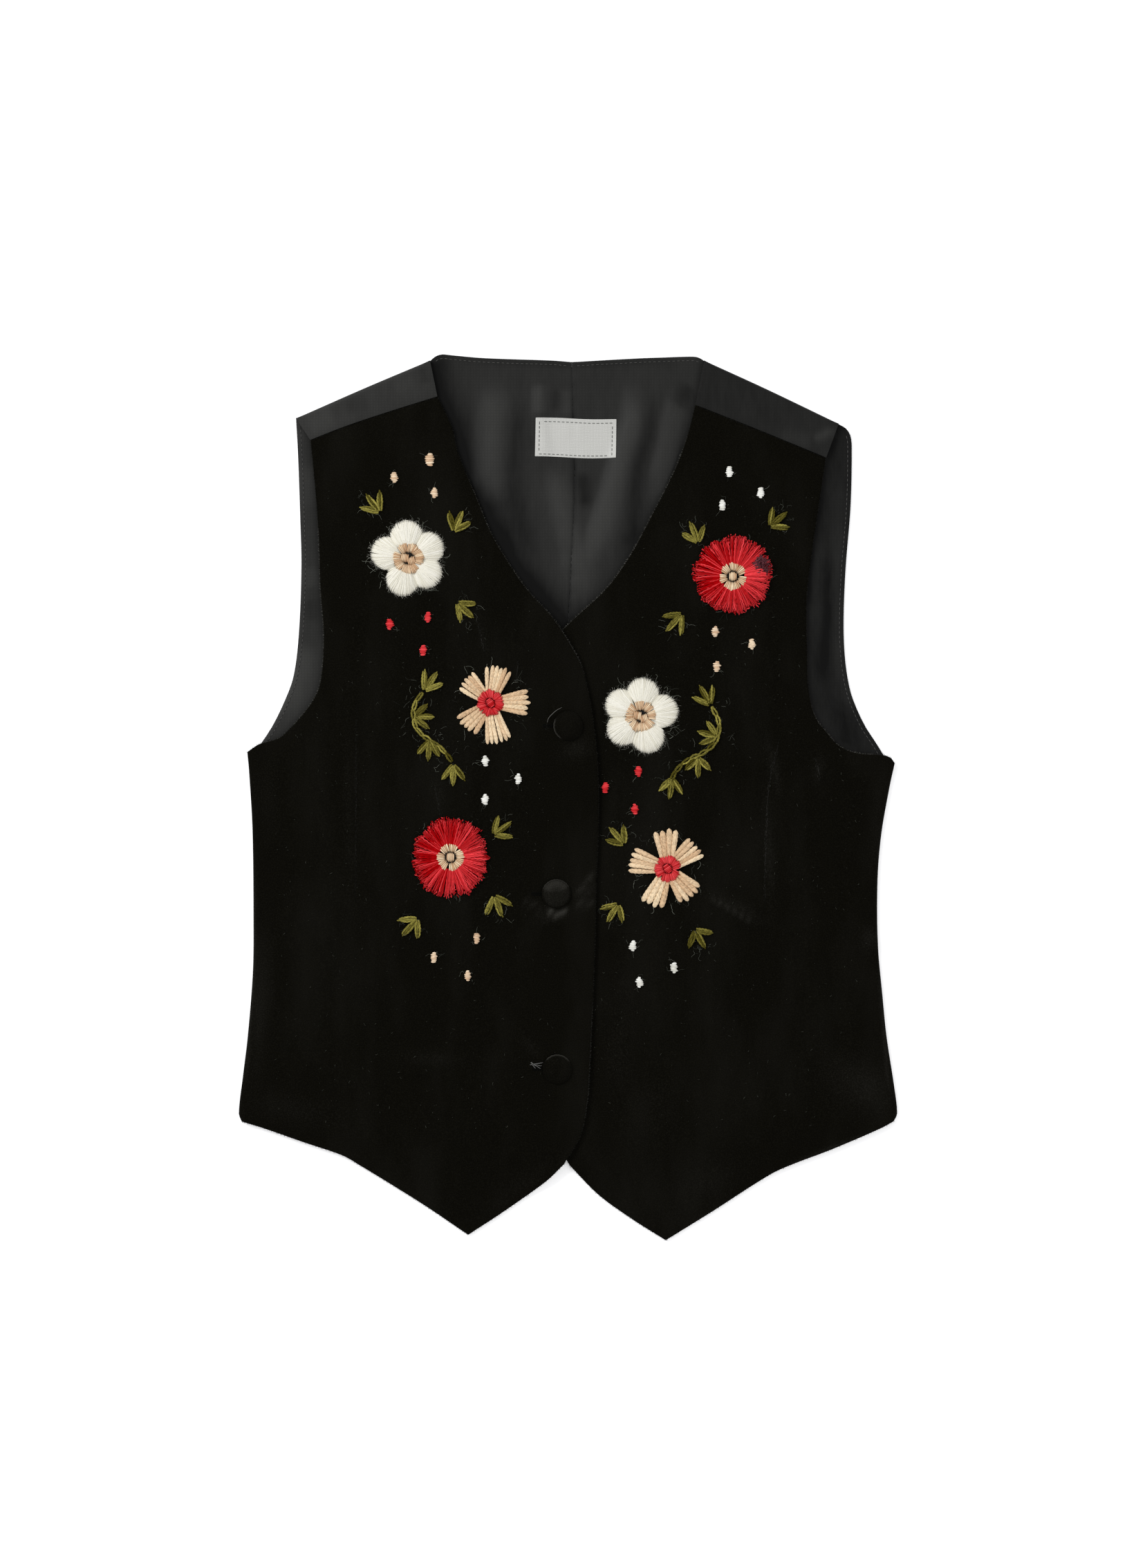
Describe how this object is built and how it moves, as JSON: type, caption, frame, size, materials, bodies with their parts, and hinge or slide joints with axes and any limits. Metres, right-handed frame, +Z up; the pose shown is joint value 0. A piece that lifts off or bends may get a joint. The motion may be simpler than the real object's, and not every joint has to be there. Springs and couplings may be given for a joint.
{
  "type": "embroidered waistcoat",
  "caption": "Child's black velvet waistcoat laid out flat, with a satin back, covered buttons and wool flower embroidery.",
  "frame": {"origin": "middle of the laid-out garment, on the surface that it lies on", "axes": "+Y from the hem to the neck, +Z up from the surface, -X the wearer's right"},
  "size_m": [0.3178, 0.4274, 0.0099],
  "materials": {
    "velvet": "black cotton velvet",
    "satin": "charcoal lining satin",
    "label_cloth": "grey woven ribbon",
    "wool_white": "white embroidery wool",
    "wool_tan": "tan embroidery wool",
    "wool_red": "red embroidery wool",
    "wool_green": "green embroidery wool"
  },
  "bodies": {
    "root": {"back_right": "satin", "back_left": "satin", "front_right": "velvet", "front_left": "velvet", "button_1": "velvet", "button_2": "velvet", "button_3": "velvet", "label": "label_cloth", "white_flower_1": "wool_white", "white_flower_2": "wool_white", "tan_flower_1": "wool_tan", "tan_flower_2": "wool_tan", "fringe_flower_1": "wool_red", "fringe_flower_2": "wool_red", "heart_white_1": "wool_tan", "heart_white_2": "wool_tan", "heart_tan_1": "wool_red", "heart_tan_2": "wool_red", "heart_fringe_1": "wool_tan", "heart_fringe_2": "wool_tan", "sprig_1": "wool_green", "sprig_2": "wool_green", "sprig_3": "wool_green", "sprig_4": "wool_green", "sprig_5": "wool_green", "sprig_6": "wool_green", "sprig_7": "wool_green", "sprig_8": "wool_green", "sprig_9": "wool_green", "sprig_10": "wool_green", "sprig_11": "wool_green", "sprig_12": "wool_green", "garland_1": "wool_green", "garland_2": "wool_green", "dot_1": "wool_tan", "dot_2": "wool_tan", "dot_3": "wool_tan", "dot_4": "wool_red", "dot_5": "wool_red", "dot_6": "wool_red", "dot_7": "wool_white", "dot_8": "wool_white", "dot_9": "wool_white", "dot_10": "wool_tan", "dot_11": "wool_tan", "dot_12": "wool_tan", "dot_13": "wool_white", "dot_14": "wool_white", "dot_15": "wool_white", "dot_16": "wool_tan", "dot_17": "wool_tan", "dot_18": "wool_tan", "dot_19": "wool_red", "dot_20": "wool_red", "dot_21": "wool_red", "dot_22": "wool_white", "dot_23": "wool_white", "dot_24": "wool_white"}
  },
  "joints": []
}
